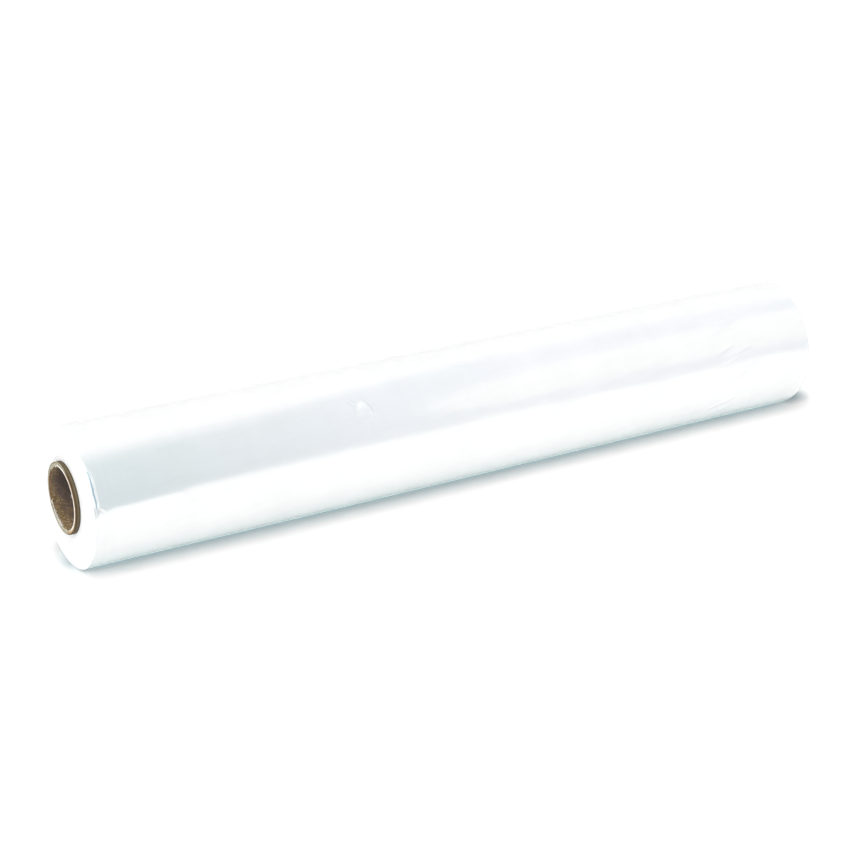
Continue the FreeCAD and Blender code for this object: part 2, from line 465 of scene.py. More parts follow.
# Small creases all over the wall, with painted shade in them. Each size lies between two, and the lean is
# in degrees.
looseCreases = {
    "count": 70,
    "length": (6.4, 24.0),
    "lean": (-4.2, 14.0),
    "height": (0.018, 0.06),
    "width": (1.12, 2.4),
    "dark": (0.0, 0.10),
    "seed": 11,
}
looseSizes = ("length", "lean", "height", "width", "dark")
arcPerDegree = radians(filmRadius / mm)  # mm on the wall


def scatterCreases():
    dice = random.Random(looseCreases["seed"])
    scattered = []
    for _ in range(looseCreases["count"]):
        start = dice.uniform(4, filmLength - 30)
        angle = dice.uniform(-180, 180)
        run, lean, *shape = (dice.uniform(*looseCreases[name]) for name in looseSizes)
        scattered.append(((start, angle), (start + run, angle + lean), *shape))
    return scattered


def readCrease(along, angle, crease):
    # a crease is a ridge that fades out at both ends: its height here, and the shade painted along it
    (startAlong, startAngle), (endAlong, endAngle), height, width, dark = crease
    run = endAlong - startAlong
    rise = (endAngle - startAngle) * arcPerDegree
    across = (angle - startAngle) * arcPerDegree
    share = ((along - startAlong) * run + across * rise) / (run * run + rise * rise)
    if not 0.0 < share < 1.0:
        return 0.0, 0.0
    offset = ((along - startAlong) * rise - across * run) / hypot(run, rise)
    if abs(offset) > 2.5 * width:
        return 0.0, 0.0
    fade = sin(pi * share) ** 0.7
    profile = exp(-2.0 * (offset / width) ** 2) - 0.35 * exp(-2.0 * (offset / width - 1.1) ** 2)
    return height * profile * fade, dark * fade * exp(-((offset - 0.4 * width) / (0.45 * width)) ** 2)


def readPocket(along, angle):
    # the pocket's height here, its raised look with a painted highlight, and the painted shade along its
    # sharp crease
    leftFoot, rightFoot, footAngle = airPocket["foot"]
    leftPeak, rightPeak, peakAngle = airPocket["peak"]
    low, high = airPocket["swell"]
    share = (angle - footAngle) / (peakAngle - footAngle)
    if not low < share < high:
        return 0.0, 0.0, 0.0
    up = min(max(share, 0.0), 1.0)
    left = leftFoot + (leftPeak - leftFoot) * up
    right = rightFoot + (rightPeak - rightFoot) * up ** 1.8
    place = (along - left) / (right - left)
    swell = sin(pi * smoothStep(low, high, share))
    inside = smoothStep(-0.25, 0.3, place) * (1.0 - smoothStep(0.9, 1.06, place))
    lifted = airPocket["lifted"] * inside
    lifted *= smoothStep(low, 0.2, share) * (1.0 - smoothStep(0.8, 1.1, share))
    fold = airPocket["fold"] * exp(-((along - right) / airPocket["foldWidth"]) ** 2)
    fold *= smoothStep(0.0, 0.3, share) * (1.0 - smoothStep(1.0, 1.2, share))
    return airPocket["height"] * swell * inside, lifted, fold


def placesAlong():
    # where the wall's rings of points lie, closer together where there are creases
    places = []
    place = 0.0
    while place < filmLength - 0.3:
        places.append(place)
        steps = [step for low, high, step in filmTurns["fineStretches"] if low <= place < high]
        place += steps[0] if steps else filmTurns["usualStep"]
    return places[1:]


def columnTurns():
    # the turn of each column of points, from the free edge at the back: most are at the front and top
    edge = filmTurns["tailEdge"]
    low, high = 180 - filmTurns["fineArc"][1], 180 - filmTurns["fineArc"][0]
    fine = round(filmTurns["columns"] * filmTurns["fineShare"])
    before = round((filmTurns["columns"] - fine) * low / (360 - high + low))
    after = filmTurns["columns"] - fine - before
    turns = [0.0, edge] + [low * number / before for number in range(1, before)]
    turns += [low + (high - low) * number / fine for number in range(fine)]
    turns += [high + (360 - high) * number / after for number in range(after)] + [360 - edge]
    return [radians(turn) for turn in turns]


def endRadii():
    # radii of the rings of points on an end, each with its depth there
    rim = filmRadius - endRelief["rimDepth"]
    bevel = endRelief["ringBevel"]
    half = endRelief["ringWidth"] / 2
    shares = [(number, number * endRelief["ringStep"] % 1.0) for number in range(1, endRelief["rings"] + 1)]
    radii = [(coreRadius, 0.0), (coreRadius + 0.4 * mm, 0.0)]
    for number, share in sorted(shares, key=lambda entry: entry[1]):
        middle = coreRadius + share * (rim - coreRadius)
        depth = endRelief["ringDepth"] * (1 + number % 3) / 3
        radii += [(middle - half - bevel, 0.0), (middle - half, depth)]
        radii += [(middle + half, depth), (middle + half + bevel, 0.0)]
    radii.append((rim - 0.3 * mm, 0.0))
    return radii


def addMarks(piece, marks):
    # marks: (painted shade, raised look with painted highlight) for each point
    shades = []
    for fold, lifted in marks:
        shades.extend((min(max(fold, 0.0), 1.0), min(max(lifted, 0.0), 1.0), 0.0, 1.0))
    piece.data.attributes.new("marks", "FLOAT_COLOR", "POINT").data.foreach_set("color", shades)


def rimShape(rim, angle):
    # how far in from the end the last turns stop at this angle, and how far they curl up
    fray = rim["fray"] * noiseAt(angle / 5.0, rim["seeds"][0], 0)
    setBack = max(readOutline(rim["setBack"], angle) + fray, 0.05) * mm
    return setBack, readOutline(rim["curl"], angle) * mm


def liftedHighlightShare(curl):
    return min(curl / filmTurns["fullyLifted"], 1.0)


def wallBumps(bumps, x, turn, seed):
    height, sizeAlong, sizeAround = bumps
    return height * turnNoise(x / sizeAlong, turn, filmRadius / sizeAround, 37.3 * seed)


def makeFilm():
    turns = columnTurns()
    columns = len(turns)
    lastTurns = endRelief["lastTurns"]
    rimRadius = filmRadius - endRelief["rimDepth"]
    allCreases = creases + scatterCreases()
    points = []
    marks = []
    ringMaterials = []
    wallIndex, endIndex, gapIndex = 0, 1, 2

    def frontTurns(x):
        # the turn of each column from the free edge, and its degrees from the front, upwards
        seam = filmTurns["tailWander"] * noiseAt(x / (70 * mm), 0, 4) / filmRadius
        for turn in turns:
            yield turn + seam, (180 - degrees(turn + seam) + 180) % 360 - 180

    def addPoint(x, radius, turn, fold=0.0, lifted=0.0):
        x, y, z = aroundAxis(x, radius, turn)
        points.append((x, y, max(z, 0.0)))
        marks.append((fold, lifted))

    def windIn(radius, turn):
        # the radius shrinks all the way round, down to the turn that the free edge lies on
        return radius - filmTurns["tailLift"] * turn / (2 * pi)

    def addEnd(rim):
        # the far end is made inside out, as its rings come after those of the wall
        endX, inwards = rim["end"]
        seed = rim["seeds"][1]
        for radius, depth in endRadii()[::inwards]:
            for turn, _ in frontTurns(endX):
                uneven = max(turnNoise(radius / (1.6 * mm), turn, 1.5, seed), 0.0)
                deep = depth * (0.75 + 0.5 * noiseAt(cos(turn), sin(turn), radius * 900 + seed))
                addPoint(endX + inwards * (deep + endRelief["unevenness"] * uneven), radius, turn)
            ringMaterials.append(endIndex)

    def addRim(rim):
        # from the end's face over a soft edge to the ledge, down into the gap, and out round the last turns
        endX, inwards = rim["end"]
        stages = [
            lambda back, curl: (0.02 * mm, rimRadius - 0.2 * mm),
            lambda back, curl: (0.12 * mm + 0.1 * back, rimRadius + 0.04 * mm),
            lambda back, curl: (0.85 * back - 0.8 * curl, rimRadius + 0.12 * mm),
            lambda back, curl: (back - 0.05 * mm - 0.3 * curl, rimRadius + 0.1 * mm - 0.9 * curl),
            lambda back, curl: (back + 0.05 * mm, filmRadius - lastTurns + 0.7 * curl),
            lambda back, curl: (back - 0.06 * mm, filmRadius - lastTurns / 2 + curl),
            lambda back, curl: (back + 0.06 * mm, filmRadius + curl),
        ]
        for stage in stages[::inwards]:
            for turn, angle in frontTurns(endX):
                setBack, curl = rimShape(rim, angle)
                offset, radius = stage(setBack, curl)
                # the lip's last stages get the raised look with a painted highlight
                lifted = liftedHighlightShare(curl) if stage in stages[-2:] else 0.0
                addPoint(endX + inwards * offset, windIn(radius, turn), turn, 0.0, lifted)
            ringMaterials.append(endIndex)

    def addWallRing(place):
        ringX = filmLow.x + place * mm
        room = filmTurns["creaseRoom"]
        near = [crease for crease in allCreases if crease[0][0] - room < place < crease[1][0] + room]
        wave = sin(2 * pi * place / gathers["spacing"])
        puff = filmTurns["tailPuffs"] * max(noiseAt(place / 13, 0, 6), 0.0)
        for column, (turn, angle) in enumerate(frontTurns(ringX)):
            x = ringX
            height, lifted, fold = readPocket(place, angle)
            for crease in near:
                ridge, dark = readCrease(place, angle, crease)
                height += ridge
                fold += dark
            gathered = exp(-place / gathers["reach"]) * (0.6 + noiseAt(angle / 40, 3, 1))
            height = (height + gathers["height"] * gathered * wave) * mm
            height += wallBumps(filmTurns["softSpots"], ringX, turn, 1)
            height += wallBumps(filmTurns["ripples"], ringX, turn, 2)
            height += puff * (1 - smoothStep(0.0, filmTurns["tailSoft"], turns[column]))
            # painted shade on the gathers' crests, and a painted shade line along the free edge
            fold += gathers["dark"] * gathered * max(wave, 0.0)
            if column == 0:
                fold += filmTurns["tailDark"] * (0.6 + noiseAt(place / 9, 0, 8))
            for rim, fromEnd in ((nearRim, place), (farRim, filmLength - place)):
                if fromEnd < filmTurns["rimBlend"]:
                    setBack, curl = rimShape(rim, angle)
                    x += rim["end"][1] * setBack * (1 - fromEnd / filmTurns["rimBlend"])
                    height += curl * exp(-fromEnd / filmTurns["curlReach"])
                    # beside the rim, the wall gets the raised look with a painted highlight
                    lifted += liftedHighlightShare(curl) * (1 - smoothStep(*filmTurns["curlLooks"], fromEnd))
            addPoint(x, windIn(filmRadius + height, turn), turn, fold, lifted)
        ringMaterials.append(wallIndex)

    addEnd(nearRim)
    addRim(nearRim)
    ringMaterials[-1] = wallIndex
    for place in placesAlong():
        addWallRing(place)
    addRim(farRim)
    addEnd(farRim)
    faces, faceMaterials = joinRings(len(points) // columns, columns, ringMaterials)
    gapRow = len(endRadii()) + 2
    for column, (_, angle) in enumerate(frontTurns(filmLow.x)):
        if rimShape(nearRim, angle)[1] > endRelief["openGap"]:
            for row in (gapRow, gapRow + 1):
                faceMaterials[row * columns + column] = gapIndex
    materials = [makeWallMaterial(), makeEndMaterial(), makeGapMaterial()]
    film = makeMesh("filmTurns", points, faces, materials, faceMaterials, 35)
    addMarks(film, marks)
    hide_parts("film")
    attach(film, "root")
    print("film made:", len(faces) * 2, "triangles")
    return film


# A corner of the outer turn that has torn and turned over, below the curled part of the near rim.
tornFlap = {
    "corners": ((0.25, 12.8), (3.7, 10.0), (0.30, 4.0)),  # mm from the near end, and degrees
    "seat": 0.10 * mm,
    "lift": 0.55 * mm,
    "thickness": 0.05 * mm,
    "divisions": 10,
    "edge": 0.10,  # share of the flap that its painted shade edge takes
    "dark": 0.42,
}


def makeFlap(film):
    (rootAlong, rootAngle), (backAlong, backAngle), (tipAlong, tipAngle) = tornFlap["corners"]
    divisions = tornFlap["divisions"]
    spots = [(row, column) for row in range(divisions + 1) for column in range(divisions + 1 - row)]
    upper = {spot: number for number, spot in enumerate(spots)}
    under = len(spots)
    points = []
    marks = []
    for lower in (0.0, tornFlap["thickness"]):
        for row, column in spots:
            tip = row / divisions
            back = column / divisions
            root = 1 - tip - back
            along = rootAlong * root + backAlong * back + tipAlong * tip
            angle = rootAngle * root + backAngle * back + tipAngle * tip
            swell = 0.5 * sin(pi * min(1.6 * root * back + tip, 1.0)) + tip * tip
            radius = filmRadius + tornFlap["seat"] + tornFlap["lift"] * swell - lower
            points.append(aroundAxis(filmLow.x + along * mm, radius, radians(180 - angle)))
            # painted shade round the flap's edges, and inside it the raised look with a painted highlight
            fold = 1 - smoothStep(0.0, tornFlap["edge"], min(root, back, tip + 0.1))
            marks.append((tornFlap["dark"] * fold, 1.0 - fold))
    faces = []
    for row, column in spots:
        here = (row, column + 1)
        above = (row + 1, column)
        if row + column < divisions:
            faces.append((upper[row, column], upper[here], upper[above]))
        if row + column < divisions - 1:
            faces.append((upper[here], upper[row + 1, column + 1], upper[above]))
    faces += [tuple(corner + under for corner in face[::-1]) for face in faces]
    border = [upper[0, column] for column in range(divisions)]
    border += [upper[row, divisions - row] for row in range(divisions)]
    border += [upper[row, 0] for row in range(divisions, 0, -1)]
    for here, beside in zip(border, border[1:] + border[:1]):
        faces.append((here + under, beside + under, beside, here))
    flap = makeMesh("filmFlap", points, faces, [film.data.materials[0]], None, 50)
    addMarks(flap, marks)
    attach(flap, "root")
    print("flap made")


coreBoard = {
    "columns": 168,
    "lead": 96 * mm,  # length in which the spiral ply goes once round
    "rowStep": 4.0 * mm,
    "plies": 5,
    "plyRelief": 0.06 * mm,
    "edgeRound": 0.3 * mm,
    "seamDepth": 0.22 * mm,
    "seamColumns": 2,
    "wobble": 0.02 * mm,
    "roughness": 0.10 * mm,  # of the cut
    # Colours of the board: its ground, its dark fibres and its pale ones.
    "outside": ((0.125, 0.074, 0.034, 1), (0.03, 0.018, 0.009, 1), (0.155, 0.122, 0.068, 1)),
    # Painted light and shade: the board as lit near the bore's mouth, and as shaded further in.
    "mouth": ((0.30, 0.20, 0.10, 1), (0.07, 0.042, 0.02, 1), (0.80, 0.63, 0.38, 1)),
    "inside": ((0.178, 0.130, 0.110, 1), (0.098, 0.074, 0.066, 1), (0.30, 0.22, 0.155, 1)),
    "cut": ((0.54, 0.51, 0.38, 1), (0.30, 0.25, 0.16, 1), (0.80, 0.80, 0.70, 1)),
    "depths": (0.014, 0.012, 0.016, 1),  # painted shade well inside the bore
    "cleanLiner": (0.96, 0.955, 0.90, 1),  # the innermost ply at the front: a painted highlight
    "cleanPly": (0.50, 0.31, 0.13, 1),
    "tornLiner": (0.17, 0.085, 0.032, 1),  # and at the back: painted shade
    "seam": (0.13, 0.09, 0.045, 1),
    "skin": (0.11, 0.07, 0.035, 1),  # the outermost ply
    "outsideLines": {"Lines": 1300.0, "Drift": 3.0},
    "cutRings": {"Rings": 2600.0, "Wander": 1.2},
    # How high the grain of each face stands.
    "outsideRelief": 0.10 * mm,
    "boreRelief": 0.30 * mm,
    "cutRelief": 0.18 * mm,
    # In from the cut: from where to where each look begins or ends, outside and in the bore.
    "rubbedFrom": (0.7 * mm, 1.0 * mm),
    "rubbedTo": (1.5 * mm, 1.9 * mm),
    "burnt": (0.7 * mm, 0.4 * mm),
    "shaded": (1.9 * mm, 2.4 * mm),
    "mouthReach": (0.5 * mm, 7 * mm),
    "mouthWear": 14 * mm,
    # The mouth's painted light reaches further in at the bottom and at the very top: from how far
    # above the axis, and how much further in for each step down or up.
    "mouthLow": (-4 * mm, 0.36),
    "mouthTop": (11 * mm, 0.45),
    "depthsFrom": (14.5 * mm, 17.5 * mm),
    # On the cut, out from the bore: from full to nothing. The outer line is given from the outside.
    "linerReach": (0.78 * mm, 0.62 * mm),
    "gapReach": (0.95 * mm, 0.80 * mm),
    "cleanReach": (1.15 * mm, 0.95 * mm),
    "secondReach": (2.00 * mm, 1.70 * mm),
    "outerLineFrom": (-0.85 * mm, -0.7 * mm),
    "outerLineTo": (-0.4 * mm, -0.25 * mm),
    "ragged": 1.0 * mm,
    # Across the cut, towards the back: from where to where the liner's painted highlight fades, the darker
    # front plies give way, and the liner's painted shade sets in.
    "cleanSide": (0.0, -8 * mm),
    "burntSide": (-3 * mm, -10 * mm),
    "tornSide": (6 * mm, 11 * mm),
    "leanBack": 0.4,
}


def addBoard(place, colors):
    ground, dark, pale = colors
    return placeGroup(boardFibres, place, Ground=ground, Dark=dark, Pale=pale)


def depthInCore(spot):
    # how far in from the nearer cut
    return minus(coreHigh.x, mathNode("ABSOLUTE", spot["X"]))


def makeCoreOutsideMaterial():
    material, shader, place = newMaterial("coreOutside")
    _, dark, pale = coreBoard["outside"]
    board = addBoard(place, coreBoard["outside"])
    lines = placeGroup(roundStreaks, place, **coreBoard["outsideLines"])["Streaks"]
    color = mixColors(remap(lines, 0.5, 0.58, 0.0, 0.8), board["Color"], pale)
    color = mixColors(remap(lines, 0.38, 0.46, 0.85, 0.0), color, dark)
    # the last ply is darker right beside the cut, and paler a little further in
    depth = depthInCore(splitPlace(place))
    palerBand = remap(depth, *coreBoard["rubbedFrom"], 0.0, 0.75)
    palerBand = times(palerBand, remap(depth, *coreBoard["rubbedTo"], 1.0, 0.0))
    color = mixColors(palerBand, color, pale)
    color = mixColors(remap(depth, *coreBoard["burnt"], 0.0, 0.8), color, dark)
    feed(shader, {
        # painted shade where the core goes into the film
        "Base Color": mixColors(remap(depth, *coreBoard["shaded"], 0.0, 0.8), color, dark),
        "Roughness": remap(board["Grain"], 0.5, 1.1, 0.95, 0.75),
        "Normal": addBump(board["Grain"], coreBoard["outsideRelief"]),
    })
    return material


def makeCoreBoreMaterial():
    material, shader, place = newMaterial("coreBore")
    mouth = addBoard(place, coreBoard["mouth"])
    inside = addBoard(place, coreBoard["inside"])
    spot = splitPlace(place)
    depth = depthInCore(spot)
    mouthWander = minus(addNoise(place, 220.0, detail=4.0, roughness=0.65), 0.5)
    mouthWanderDepth = plus(depth, times(mouthWander, coreBoard["mouthWear"]))
    (low, lowSlope), (top, topSlope) = coreBoard["mouthLow"], coreBoard["mouthTop"]
    fromLow = times(minus(spot["Z"], axisHeight + low), lowSlope)
    fromTop = times(minus(axisHeight + top, spot["Z"]), topSlope)
    mouthWanderDepth = plus(mouthWanderDepth, mathNode("MINIMUM", fromLow, fromTop))
    # painted light near the mouth, low down and at the very top; painted shade further in
    inner = remap(mouthWanderDepth, *coreBoard["mouthReach"])
    color = mixColors(inner, mouth["Color"], inside["Color"])
    # near-black painted shade deep in the bore
    feed(shader, {
        "Base Color": mixColors(remap(depth, *coreBoard["depthsFrom"]), color, coreBoard["depths"]),
        "Roughness": 0.9,
        "Normal": addBump(mouth["Grain"], coreBoard["boreRelief"]),
    })
    return material


def makeCoreCutMaterial():
    material, shader, place = newMaterial("coreCut")
    board = addBoard(place, coreBoard["cut"])
    plies = placeGroup(woundRings, place, **coreBoard["cutRings"])
    torn = addNoise(stretch(place, (0, 300, 300)), 1.0, detail=4.0, roughness=0.6)
    radius = plus(plies["Radius"], times(minus(torn, 0.5), coreBoard["ragged"]))

    def across(reach, start, toLow=0.0, toHigh=1.0):
        return remap(radius, start + reach[0], start + reach[1], toLow, toHigh)

    liner = across(coreBoard["linerReach"], boreRadius)
    cleanPlies = across(coreBoard["cleanReach"], boreRadius)
    second = across(coreBoard["secondReach"], boreRadius)
    gap = across(coreBoard["gapReach"], boreRadius, 0.0, 0.9)
    outerLine = across(coreBoard["outerLineFrom"], coreRadius, 0.0, 0.85)
    outerLine = times(outerLine, across(coreBoard["outerLineTo"], coreRadius, 1.0, 0.0))
    # the highlighted front leans back all the way up, and the shaded back above the axis only
    spot = splitPlace(place)
    leaning = times(minus(spot["Z"], axisHeight), coreBoard["leanBack"])
    clean = remap(minus(spot["Y"], leaning), *coreBoard["cleanSide"])
    burnt = remap(spot["Y"], *coreBoard["burntSide"])
    backShare = remap(minus(spot["Y"], larger(leaning, 0.0)), *coreBoard["tornSide"])
    rings = remap(plies["Rings"], 0.52, 0.62, 0.0, 0.5)
    tornSide = mixColors(rings, board["Color"], coreBoard["cut"][1])
    tornSide = mixColors(times(gap, backShare), tornSide, coreBoard["seam"])
    tornSide = mixColors(outerLine, tornSide, coreBoard["seam"])
    # painted shade on the liner at the back
    tornSide = mixColors(times(liner, backShare), tornSide, coreBoard["tornLiner"])
    cleanSide = mixColors(second, coreBoard["skin"], coreBoard["cleanPly"])
    color = mixColors(burnt, tornSide, cleanSide)
    relief = plus(plies["Rings"], times(board["Grain"], 0.8))
    # the liner at the front gets a painted highlight
    feed(shader, {
        "Base Color": mixColors(times(clean, cleanPlies), color, coreBoard["cleanLiner"]),
        "Roughness": 0.9,
        "Normal": addBump(relief, coreBoard["cutRelief"]),
    })
    return material


def makeCore():
    columns = coreBoard["columns"]
    edgeRound = coreBoard["edgeRound"]
    wall = coreRadius - boreRadius
    points = []
    ringMaterials = []
    outsideIndex, cutIndex, boreIndex = 0, 1, 2

    def columnTurn(x, column):
        # the columns follow the spiral seam
        return 2 * pi * column / columns + 2 * pi * x / coreBoard["lead"]

    def addLength(fromX, toX, radius, material, seam):
        count = round(abs(toX - fromX) / coreBoard["rowStep"])
        for number in range(1, count):
            x = fromX + (toX - fromX) * number / count
            for column in range(columns):
                turn = columnTurn(x, column)
                reach = radius + coreBoard["wobble"] * turnNoise(x * 60, turn, 2)
                if column < coreBoard["seamColumns"]:
                    reach += seam
                points.append(aroundAxis(x, reach, turn))
            ringMaterials.append(material)

    def addCut(endX, outwards):
        # the cut face, ply by ply, between two rounded edges: the near end's is made inside out
        rows = [(edgeRound, 0.0), (0.35 * edgeRound, 0.35 * edgeRound), (0.0, edgeRound)]
        step = (wall - 2 * edgeRound) / coreBoard["plies"]
        for ply in range(coreBoard["plies"]):
            start = edgeRound + ply * step
            rows.append((coreBoard["plyRelief"], start + 0.1 * step))
            rows += [(0.0, start + 0.35 * step), (0.0, start + 0.8 * step)]
        rows += [(0.0, wall - edgeRound), (0.35 * edgeRound, wall - 0.35 * edgeRound), (edgeRound, wall)]
        for depth, inward in rows[::outwards]:
            for column in range(columns):
                turn = columnTurn(endX, column)
                rough = max(coreBoard["roughness"] * turnNoise(inward * 3000, turn, 9), 0.0)
                points.append(aroundAxis(endX - outwards * (depth + rough), coreRadius - inward, turn))
            ringMaterials.append(cutIndex)

    insideNear = coreLow.x + edgeRound
    insideFar = coreHigh.x - edgeRound
    addCut(coreLow.x, -1)
    ringMaterials[-1] = outsideIndex
    addLength(insideNear, insideFar, coreRadius, outsideIndex, -coreBoard["seamDepth"] / 2)
    addCut(coreHigh.x, 1)
    ringMaterials[-1] = boreIndex
    addLength(insideFar, insideNear, boreRadius, boreIndex, coreBoard["seamDepth"])
    faces, faceMaterials = joinRings(len(points) // columns, columns, ringMaterials)
    materials = [makeCoreOutsideMaterial(), makeCoreCutMaterial(), makeCoreBoreMaterial()]
    core = makeMesh("coreTube", points, faces, materials, faceMaterials, 50)
    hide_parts("core")
    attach(core, "root")
    print("core made:", len(faces) * 2, "triangles")


coreFuzz = {
    "fibres": 360,
    "length": 1.7 * mm,
    "thickness": 0.14 * mm,
    "thickArc": (-84, -24),  # degrees from the back, upwards: most of the fibres are left here
    "thickShare": 0.98,
    "innerShare": 0.85,  # of the fibres, those on the bore's edge
    # A tuft at the top of the bore, at the near end: its degrees, how many fibres, and how short they are.
    "tuftArc": (69, 71),
    "tuftFibres": 5,
    "tuftLength": 0.5,
    "seed": 5,
    "color": (0.98, 0.97, 0.93, 1),
}


def makeFuzzMaterial():
    material, shader, place = newMaterial("coreFibre")
    shade = remap(addNoise(place, 900.0, detail=1.0), 0.25, 0.45)
    feed(shader, {
        "Base Color": mixColors(shade, coreBoard["mouth"][2], coreFuzz["color"]),
        "Roughness": 0.95,
    })
    return material


def makeFuzz():
    # torn fibres that the saw left on the edges of the cut: one in three at the far end
    dice = random.Random(coreFuzz["seed"])
    points = []
    faces = []
    for number in range(coreFuzz["fibres"]):
        atFarEnd = number % 3 == 0
        outwards, endX = (1, coreHigh.x) if atFarEnd else (-1, coreLow.x)
        low, high = coreFuzz["thickArc"] if dice.random() < coreFuzz["thickShare"] else (-180, 180)
        inTuft = not atFarEnd and number < coreFuzz["tuftFibres"] * 1.5
        if inTuft:
            low, high = coreFuzz["tuftArc"]
        turns = [radians(dice.uniform(low, high)) for _ in range(2)]
        turn = max(turns, key=lambda value: noiseAt(value * 24, 0, 2))  # they lie in tufts
        inner = dice.random() < coreFuzz["innerShare"]
        radius = boreRadius + 0.05 * mm if inner else coreRadius - 0.1 * mm
        root = Vector(aroundAxis(endX - outwards * 0.12 * mm, radius, turn))
        towardsAxis = Vector((0, -cos(turn), -sin(turn))) * (1 if inner else -0.4)
        alongEdge = Vector((0, -sin(turn), cos(turn)))
        heading = towardsAxis * dice.uniform(0.3, 1.0) + alongEdge * dice.uniform(-1.0, 1.0)
        heading += Vector((outwards * dice.uniform(-0.2, 0.3), 0, 0))
        heading.normalize()
        side = heading.cross(Vector((1, 0.3, 0.2))).normalized() * coreFuzz["thickness"]
        rise = heading.cross(side).normalized() * coreFuzz["thickness"]
        length = coreFuzz["length"] * dice.uniform(0.4, 1.5) * (coreFuzz["tuftLength"] if inTuft else 1.0)
        bend = alongEdge * dice.uniform(-0.4, 0.4) * length
        first = len(points)
        for share in (0.0, 0.35, 0.7, 1.0):
            middle = root + heading * length * share + bend * share * share
            width = 1.0 - 0.75 * share
            for corner in (side, rise - side * 0.5, -rise - side * 0.5):
                points.append(tuple(middle + corner * width))
        for here in range(first, first + 9, 3):
            for corner in range(3):
                beside = (corner + 1) % 3
                faces.append((here + corner, here + beside, here + beside + 3, here + corner + 3))
        faces.append((first + 2, first + 1, first))
        faces.append((first + 9, first + 10, first + 11))
    fuzz = makeMesh("coreFuzz", points, faces, [makeFuzzMaterial()], None, 60)
    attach(fuzz, "root")
    print("fuzz made:", coreFuzz["fibres"], "fibres")


makeFlap(makeFilm())
makeCore()
makeFuzz()


cameraView = {
    "azimuth": -30.85,
    "elevation": 22.03,
    "distance": 1.12423,
    "lens": 86.4,
    "aimRight": -0.01426,  # the aim lies a little left of the roll's middle, and below it
    "aimUp": -0.00719,
}


def makeCamera():
    azimuth = radians(cameraView["azimuth"])
    elevation = radians(cameraView["elevation"])
    level = cos(elevation)
    back = Vector((sin(azimuth) * level, -cos(azimuth) * level, sin(elevation)))
    right = Vector((cos(azimuth), sin(azimuth), 0))
    up = back.cross(right)
    aim = rollMiddle + right * cameraView["aimRight"] + up * cameraView["aimUp"]
    place = aim + back * cameraView["distance"]
    camera = placeFacing("camera", bpy.data.cameras.new("camera"), place, back)
    camera.data.lens = cameraView["lens"]
    camera.data.sensor_width = 36
    camera.data.clip_start = 0.01
    bpy.context.scene.camera = camera


# Large soft lamps: the direction of each from the roll, its width in degrees, and what it adds to a
# white surface that faces it.
softLamps = {
    "key": {"direction": (-0.55, -0.81, 1.24), "width": 36, "level": 0.495},
    "nearFill": {"direction": (-1.00, -0.20, 0.33), "width": 34, "level": 0.32},
    "farFill": {"direction": (1.30, -0.30, 1.00), "width": 70, "level": 0.09},
    "overhead": {"direction": (-0.10, 0.50, 1.35), "width": 60, "level": 0.25},
}
studio = {
    "ambient": (0.29, 0.294, 0.298, 1),
    "floorColor": (0.93, 0.935, 0.935, 1),
    # A shadow painted on the floor right beside the roll: its colour there, and how far that reaches.
    "footColor": (0.42, 0.455, 0.465, 1),
    "footReach": 15 * mm,
    "footRoom": (0.5 * mm, 9 * mm),  # how far past the near end and the far end it starts
    # How fast it fades past the two ends, in front and behind. Behind it fades fast first, then slowly.
    "footFade": (2.2, 1.0, 1.0, 0.68),
    "footSlow": (0.26 / 0.68, 6.3 * mm),
    # Past the far end the painted shadow widens: how far past it and behind the axis, and from where to
    # where it fades.
    "footEnd": (13 * mm, -2 * mm),
    "footEndFade": (6.5 * mm, 17 * mm),
    "footEndColor": (0.325, 0.435, 0.45, 1),
    # Glow painted on the floor, by mm from where the roll stands: bright under the roll, dim beside it
    # where the shadow is kept, and the backdrop's even glow further out.
    "glow": [
        (0, (0.75, 0.85, 0.88)), (4.2, (0.48, 0.60, 0.63)), (5.6, (0.078, 0.113, 0.121)),
        (7.2, (0.100, 0.136, 0.143)), (11.5, (0.082, 0.101, 0.108)), (14.3, (0.07, 0.10, 0.095)),
        (17.5, (0.05, 0.05, 0.045)), (23, (0.085, 0.06, 0.06)), (27.5, (0.115, 0.105, 0.105)),
        (32, (0.19, 0.19, 0.19)), (40, (0.24, 0.24, 0.24)),
    ],
    "glowReach": 40 * mm,
    "glowRoom": (-12 * mm, -6 * mm),
    "glowWidth": 8 * mm,
    "glowLent": 1.6,  # how much stronger it is for the light that reaches the film
    # Painted reflection: the film's gloss sees the floor paler than this right at the foot, and bluer a
    # little further out.
    "glossFoot": (8 * mm, 14 * mm, 0.36, 0.0),
    "glossPale": (0.84, 1.0, 0.98, 1),
    "glossNear": (17 * mm, 32 * mm, 0.25, 0.0),
    "glossBlue": (0.33, 0.79, 0.78, 1),
}


def makeSoftLamp(name, direction, width, level):
    lamp = bpy.data.lights.new(name, "SUN")
    lamp.angle = radians(width)
    lamp.energy = level * pi
    back = Vector(direction)
    placeFacing(name, lamp, rollMiddle + back, back).visible_glossy = False


def emptyTree(owner):
    owner.use_nodes = True
    owner.node_tree.nodes.clear()
    return owner.node_tree


def firstRays(tree, *kinds):
    # 1 for the rays of these kinds that nothing matt has scattered yet
    path = addNode(tree, "ShaderNodeLightPath").outputs
    seen = path[kinds[0]]
    for kind in kinds[1:]:
        seen = larger(seen, path[kind])
    return times(seen, mathNode("LESS_THAN", path["Diffuse Depth"], 0.5))


def backdropRays(tree):
    # 1 for the rays that see the backdrop itself: from the camera, and in reflections that it sees
    return firstRays(tree, "Is Camera Ray", "Is Glossy Ray", "Is Transmission Ray")


